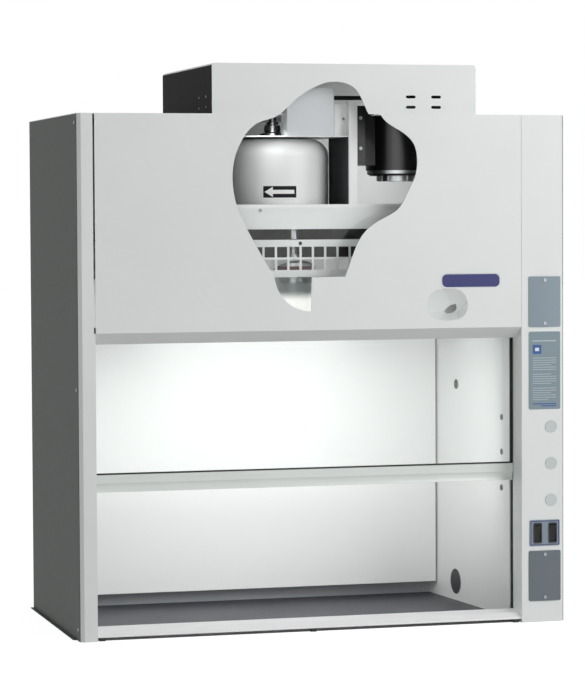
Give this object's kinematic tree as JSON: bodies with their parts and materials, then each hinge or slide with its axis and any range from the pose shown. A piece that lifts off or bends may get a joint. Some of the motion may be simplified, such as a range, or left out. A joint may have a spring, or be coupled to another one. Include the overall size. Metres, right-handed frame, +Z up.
{
  "type": "fume hood",
  "caption": "Ducted benchtop fume hood with a counterweighted glass sash, cutaway views of its belt-driven blower, a jar lamp, rear baffle, air foil and switch post.",
  "frame": {"origin": "centre of the bounding box in plan, at the underside of the cabinet", "axes": "+X to the user's right, +Y to the back, away from the user, +Z up"},
  "size_m": [1.212, 0.6242, 1.345],
  "materials": {
    "panel": "satin powder coat",
    "side_panel": "satin powder coat, grey-green",
    "canopy": "satin powder coat",
    "lining": "smooth white liner",
    "floor": "matt dark grey",
    "foil": "satin white",
    "plug": "moulded",
    "steel": "zinc plated sheet",
    "white_sheet": "satin white sheet",
    "housing": "satin light grey",
    "shaft": "ground steel",
    "pulley": "turned",
    "belt": "black",
    "motor": "satin black",
    "bracket": "satin black",
    "box": "light grey",
    "gasket": "dark red",
    "black_metal": "black",
    "glass": "clear",
    "jar": "frosted",
    "handle": "satin anodised",
    "black_rubber": "matt black",
    "nylon": "moulded nylon",
    "weight": "painted",
    "cover": "satin blue-grey",
    "switch_plate": "satin blue-grey",
    "switch": "moulded black",
    "screw": "zinc plated"
  },
  "bodies": {
    "cabinet": {"left_side_panel": "side_panel", "right_side_panel": "side_panel", "rear_panel": "side_panel", "top_panel": "panel", "left_post": "panel", "right_post": "panel", "front_panel": "panel", "work_top": "floor", "air_foil": "foil", "left_lining": "lining", "right_lining": "lining", "rear_lining": "lining", "rear_baffle": "lining", "baffle_standoffs": "lining", "ceiling_panel": "lining", "blanking_plugs": "plug", "left_track": "steel", "right_track": "steel", "cross_beam": "white_sheet", "bypass_grille": "white_sheet", "blower_deck": "white_sheet", "blower_housing": "housing", "shaft_bearing": "pulley", "drive_belt": "belt", "motor_body": "motor", "motor_ends": "steel", "motor_bracket": "bracket", "drive_shelf": "white_sheet", "uprights": "white_sheet", "partition": "bracket", "relay_box": "box", "exhaust_duct": "steel", "exhaust_collar": "steel", "canopy": "canopy", "lamp_conduit": "steel", "lamp_gasket": "gasket", "lamp_ring": "black_metal", "lamp_jar": "jar", "sash_belts": "black_rubber", "pulley_pins": "steel", "cover_plates": "cover", "switch_plate": "switch_plate", "switch_bodies": "switch", "screws": "screw"},
    "sash": {"sash_glass": "glass", "sash_handle": "handle", "sash_seal": "black_rubber", "sash_shoes": "nylon"},
    "left_counterweight": {"left_weight": "weight"},
    "right_counterweight": {"right_weight": "weight"},
    "upper_pulley_pair": {"top_pulleys": "nylon"},
    "lower_pulley_pair": {"low_pulleys": "nylon"},
    "motor_rotor": {"motor_shaft": "shaft", "motor_pulley": "pulley"},
    "blower_rotor": {"blower_shaft": "shaft", "blower_wheel": "steel", "blower_pulley": "pulley"},
    "left_switch": {"left_rocker": "switch"},
    "right_switch": {"right_rocker": "switch"}
  },
  "joints": [
    {"name": "sash_slide", "type": "slide", "parent": "cabinet", "child": "sash", "axis": [0, 0, 1], "range_m": [-0.311, 0.15]},
    {"name": "left_weight_slide", "type": "slide", "parent": "cabinet", "child": "left_counterweight", "axis": [0, 0, 1], "range_m": [-0.15, 0.311]},
    {"name": "right_weight_slide", "type": "slide", "parent": "cabinet", "child": "right_counterweight", "axis": [0, 0, 1], "range_m": [-0.15, 0.311]},
    {"name": "upper_pulley_turn", "type": "hinge", "parent": "cabinet", "child": "upper_pulley_pair", "pos_m": [0, -0.2133, 1.19], "axis": [1, 0, 0], "range_deg": [-434.16, 900.05]},
    {"name": "lower_pulley_turn", "type": "hinge", "parent": "cabinet", "child": "lower_pulley_pair", "pos_m": [0, -0.2133, 0.042], "axis": [1, 0, 0], "range_deg": [-434.16, 900.05]},
    {"name": "motor_spin", "type": "hinge", "parent": "cabinet", "child": "motor_rotor", "pos_m": [0.244, -0.1061, 1.272], "axis": [0, 0, 1], "continuous": true},
    {"name": "blower_spin", "type": "hinge", "parent": "cabinet", "child": "blower_rotor", "pos_m": [-0.066, -0.0661, 1.272], "axis": [0, 0, 1], "continuous": true},
    {"name": "left_switch_rock", "type": "hinge", "parent": "cabinet", "child": "left_switch", "pos_m": [0.5276, -0.30493, 0.2165], "axis": [1, 0, 0], "range_deg": [-16, 0]},
    {"name": "right_switch_rock", "type": "hinge", "parent": "cabinet", "child": "right_switch", "pos_m": [0.5661, -0.30493, 0.2165], "axis": [1, 0, 0], "range_deg": [-16, 0]}
  ],
  "couplings": [
    {"joint": "left_weight_slide", "follows": "sash_slide", "ratio": -1},
    {"joint": "right_weight_slide", "follows": "sash_slide", "ratio": -1},
    {"joint": "upper_pulley_turn", "follows": "sash_slide", "rad_per_m": -50.505},
    {"joint": "lower_pulley_turn", "follows": "sash_slide", "rad_per_m": -50.505},
    {"joint": "blower_spin", "follows": "motor_spin", "ratio": 0.54853}
  ]
}
